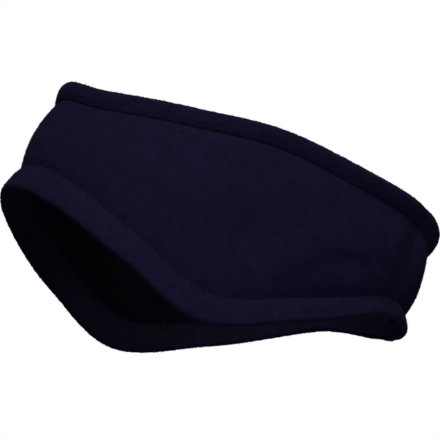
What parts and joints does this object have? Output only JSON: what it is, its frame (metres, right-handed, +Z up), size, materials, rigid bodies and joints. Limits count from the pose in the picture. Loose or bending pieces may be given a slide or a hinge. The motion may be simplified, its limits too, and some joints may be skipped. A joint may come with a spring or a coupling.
{
  "type": "fleece headband",
  "caption": "Soft fleece headband in its worn form: a shaped ring-like band, low over the ears and narrow at the nape, with both edges turned in and stitched.",
  "frame": {"origin": "the middle of the hollow, level with the middle of the forehead's height before the band is tipped back: where a head holds it", "axes": "+Z up as worn on an upright head, -Y to the forehead, +Y to the nape, +X to the wearer's left"},
  "size_m": [0.165, 0.2153, 0.1229],
  "materials": {
    "fleece": "dark navy brushed fleece with a short soft pile",
    "thread": "dark navy sewing thread, slightly glossier than the pile"
  },
  "bodies": {
    "root": {"band_panel": "fleece", "upper_hem": "fleece", "lower_hem": "fleece"}
  },
  "joints": []
}
